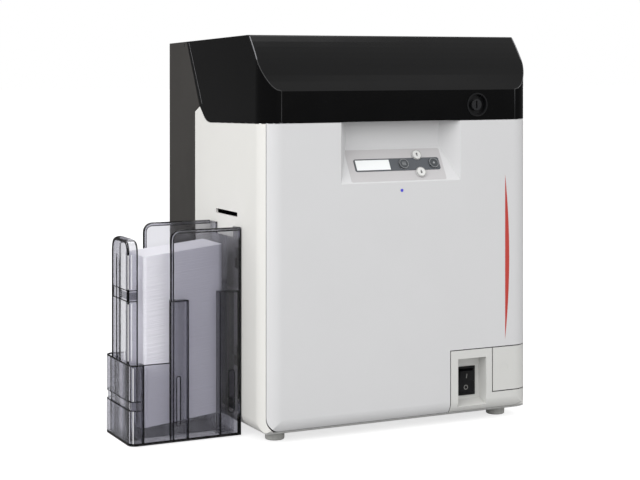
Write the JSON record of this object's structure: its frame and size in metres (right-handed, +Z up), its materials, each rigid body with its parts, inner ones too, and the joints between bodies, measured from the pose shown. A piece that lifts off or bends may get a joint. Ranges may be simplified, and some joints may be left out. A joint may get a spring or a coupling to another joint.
{
  "type": "id card printer",
  "caption": "Desktop id card printer with a hinged front door and lid, a key lock, a slanted control panel, a rocker switch and a lift-off side hopper of cards.",
  "frame": {"origin": "centre of the bounding box's bottom face, on the surface that the feet stand on", "axes": "+X to the printer's right seen from the front, +Y from the front door to the back, +Z up"},
  "size_m": [0.437, 0.2705, 0.4115],
  "materials": {
    "tray": "moulded, light grey",
    "feet": "matt black",
    "side_left": "moulded, off-white",
    "side_right": "moulded, off-white",
    "rear": "moulded, dark grey",
    "door": "moulded, pale grey",
    "door_pins": "turned",
    "lid": "polished, near black",
    "lid_pins": "turned",
    "lock_surround": "moulded, black",
    "lock": "black",
    "strip": "printed film, slate grey",
    "display": "clear over a pale display",
    "menu": "dark grey",
    "set": "dark grey",
    "up": "pale grey",
    "down": "pale grey",
    "light": "blue lens",
    "block": "moulded, pale grey",
    "rocker": "black",
    "bezel": "black",
    "corner": "moulded, pale grey",
    "frame_left": "plated sheet steel",
    "frame_right": "plated sheet steel",
    "crossbar": "plated sheet steel",
    "plate": "plated sheet steel",
    "bracket": "plated sheet steel",
    "hopper": "smoky, see-through",
    "hopper_post": "smoky, see-through",
    "hooks": "smoky, see-through",
    "cards": "white",
    "ribbon_a": "dyed film on a core",
    "ribbon_b": "dyed film on a core",
    "film_a": "clear film on a core",
    "film_b": "clear film on a core",
    "drum": "ground rubber",
    "head": "finned",
    "hot_roller": "silicone",
    "roller_a": "matt",
    "roller_b": "matt",
    "roller_c": "matt",
    "belt": "matt",
    "motor": "grey",
    "pinion": "cut",
    "fan": "black",
    "rotor": "black",
    "supply": "plated case",
    "board": "green board",
    "inlet": "black",
    "sockets": "plated",
    "screws": "zinc plated"
  },
  "bodies": {
    "base": {"base_tray": "tray", "rubber_feet": "feet", "left_side_cover": "side_left", "right_side_cover": "side_right", "rear_housing": "rear", "door_hinge_pins": "door_pins", "lid_hinge_pins": "lid_pins", "switch_housing": "block", "switch_insert": "bezel", "corner_cover": "corner", "left_frame": "frame_left", "right_frame": "frame_right", "front_crossbar": "crossbar", "chassis_plate": "plate", "roller_frame": "bracket", "printhead": "head", "feed_belt": "belt", "drive_motor": "motor", "cooling_fan": "fan", "power_supply": "supply", "main_board": "board", "power_inlet": "inlet", "data_sockets": "sockets", "chassis_screws": "screws"},
    "door": {"front_door": "door", "label_strip": "strip", "display_window": "display", "status_light": "light"},
    "lid": {"top_lid": "lid", "lock_cup": "lock_surround"},
    "lock": {"lock_barrel": "lock"},
    "menu_key": {"menu_button": "menu"},
    "set_key": {"set_button": "set"},
    "up_key": {"up_button": "up"},
    "down_key": {"down_button": "down"},
    "rocker": {"rocker_switch": "rocker"},
    "hopper": {"hopper_body": "hopper", "hopper_end_post": "hopper_post", "hopper_hooks": "hooks", "card_stack": "cards"},
    "ribbon_supply": {"ribbon_supply_spool": "ribbon_a"},
    "ribbon_takeup": {"ribbon_takeup_spool": "ribbon_b"},
    "film_supply": {"film_supply_spool": "film_a"},
    "film_takeup": {"film_takeup_spool": "film_b"},
    "drum": {"print_drum": "drum"},
    "hot_roller": {"heat_roller": "hot_roller"},
    "pinion": {"motor_pinion": "pinion"},
    "roller_entry": {"entry_roller": "roller_a"},
    "roller_transfer": {"transfer_roller": "roller_b"},
    "roller_exit": {"exit_roller": "roller_c"},
    "rotor": {"fan_rotor": "rotor"}
  },
  "joints": [
    {"name": "door_swing", "type": "hinge", "parent": "base", "child": "door", "pos_m": [-0.0835, -0.1294, 0.15], "axis": [0, 0, -1], "range_deg": [0, 100]},
    {"name": "lid_lift", "type": "hinge", "parent": "base", "child": "lid", "pos_m": [0.06, 0.081, 0.4025], "axis": [-1, 0, 0], "range_deg": [0, 75]},
    {"name": "lock_turn", "type": "hinge", "parent": "lid", "child": "lock", "pos_m": [0.151, -0.125, 0.3385], "axis": [0, -1, 0], "range_deg": [0, 90]},
    {"name": "menu_press", "type": "slide", "parent": "door", "child": "menu_key", "axis": [0, 0.8682, -0.4961], "range_m": [0, 0.0008], "stiffness_N_per_m": 400},
    {"name": "set_press", "type": "slide", "parent": "door", "child": "set_key", "axis": [0, 0.8682, -0.4961], "range_m": [0, 0.0008], "stiffness_N_per_m": 400},
    {"name": "up_press", "type": "slide", "parent": "door", "child": "up_key", "axis": [0, 0.8682, -0.4961], "range_m": [0, 0.0008], "stiffness_N_per_m": 400},
    {"name": "down_press", "type": "slide", "parent": "door", "child": "down_key", "axis": [0, 0.8682, -0.4961], "range_m": [0, 0.0008], "stiffness_N_per_m": 400},
    {"name": "rocker_tip", "type": "hinge", "parent": "base", "child": "rocker", "pos_m": [0.1448, -0.117, 0.0425], "axis": [-1, 0, 0], "range_deg": [0, 16]},
    {"name": "hopper_lift", "type": "slide", "parent": "base", "child": "hopper", "axis": [0, 0, 1], "range_m": [0, 0.01]},
    {"name": "ribbon_supply_spin", "type": "hinge", "parent": "base", "child": "ribbon_supply", "pos_m": [-0.0365, -0.04, 0.266], "axis": [0, 1, 0], "continuous": true},
    {"name": "ribbon_takeup_spin", "type": "hinge", "parent": "base", "child": "ribbon_takeup", "pos_m": [-0.0365, -0.04, 0.188], "axis": [0, 1, 0], "continuous": true},
    {"name": "film_supply_spin", "type": "hinge", "parent": "base", "child": "film_supply", "pos_m": [0.1395, -0.04, 0.258], "axis": [0, 1, 0], "continuous": true},
    {"name": "film_takeup_spin", "type": "hinge", "parent": "base", "child": "film_takeup", "pos_m": [0.1395, -0.04, 0.178], "axis": [0, 1, 0], "continuous": true},
    {"name": "drum_spin", "type": "hinge", "parent": "base", "child": "drum", "pos_m": [0.0315, -0.04, 0.226], "axis": [0, 1, 0], "continuous": true},
    {"name": "hot_roller_spin", "type": "hinge", "parent": "base", "child": "hot_roller", "pos_m": [0.0515, -0.04, 0.04906], "axis": [0, 1, 0], "continuous": true},
    {"name": "pinion_spin", "type": "hinge", "parent": "base", "child": "pinion", "pos_m": [0.0605, -0.04, 0.06465], "axis": [0, 1, 0], "continuous": true},
    {"name": "entry_spin", "type": "hinge", "parent": "base", "child": "roller_entry", "pos_m": [-0.0505, -0.04, 0.0217], "axis": [0, 1, 0], "continuous": true},
    {"name": "transfer_spin", "type": "hinge", "parent": "base", "child": "roller_transfer", "pos_m": [0.0515, -0.04, 0.0217], "axis": [0, 1, 0], "continuous": true},
    {"name": "exit_spin", "type": "hinge", "parent": "base", "child": "roller_exit", "pos_m": [0.1535, -0.04, 0.0217], "axis": [0, 1, 0], "continuous": true},
    {"name": "fan_spin", "type": "hinge", "parent": "base", "child": "rotor", "pos_m": [0.1375, 0.125, 0.122], "axis": [0, 1, 0], "continuous": true}
  ],
  "couplings": [
    {"joint": "pinion_spin", "follows": "hot_roller_spin", "ratio": -2},
    {"joint": "entry_spin", "follows": "hot_roller_spin", "ratio": -2.25},
    {"joint": "transfer_spin", "follows": "hot_roller_spin", "ratio": -2.25},
    {"joint": "exit_spin", "follows": "hot_roller_spin", "ratio": -2.25}
  ]
}
